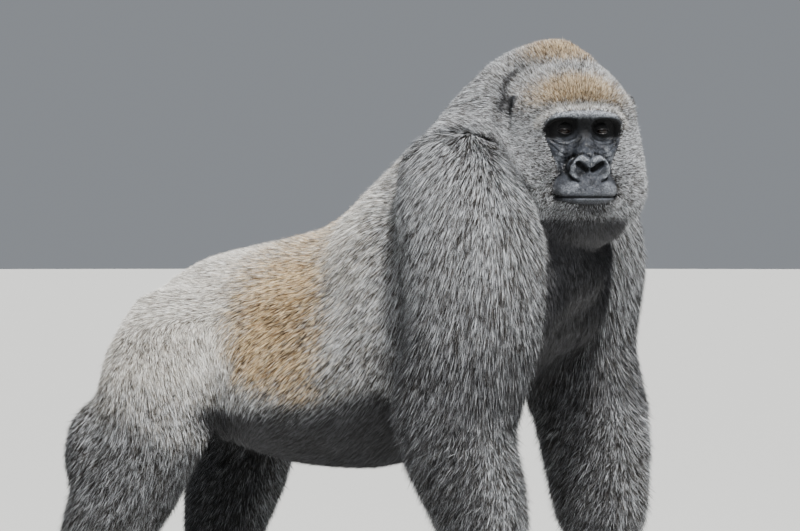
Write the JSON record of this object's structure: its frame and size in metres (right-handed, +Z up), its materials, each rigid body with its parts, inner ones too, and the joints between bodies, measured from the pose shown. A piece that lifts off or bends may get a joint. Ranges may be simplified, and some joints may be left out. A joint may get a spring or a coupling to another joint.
{
  "type": "adult male western lowland gorilla, standing",
  "caption": "Still life-size gorilla standing on knuckles and soles, its head turned to its right, with a crest, a short coat and bare face, hands and feet.",
  "frame": {"origin": "on the floor, under the middle of the animal's box", "axes": "+Z up, -Y the way the trunk faces, +X the animal's left"},
  "size_m": [0.7058, 1.2164, 1.13],
  "materials": {
    "coat": "short dense hair, grizzled grey-brown with a tan saddle and chestnut crown, matt with a soft sheen",
    "bare_skin": "blue-black creased skin with a slight gloss",
    "eye": "wet, dark brown",
    "nail": "dull black-brown nail"
  },
  "bodies": {
    "root": {"head": "coat", "neck": "coat", "chest": "coat", "belly": "coat", "pelvis": "coat", "ear_left": "bare_skin", "ear_right": "bare_skin", "eye_left": "eye", "eye_right": "eye", "upper_arm_left": "coat", "upper_arm_right": "coat", "forearm_left": "coat", "forearm_right": "coat", "hand_left": "bare_skin", "hand_right": "bare_skin", "thigh_left": "coat", "thigh_right": "coat", "shank_left": "coat", "shank_right": "coat", "foot_left": "bare_skin", "foot_right": "bare_skin"}
  },
  "joints": []
}
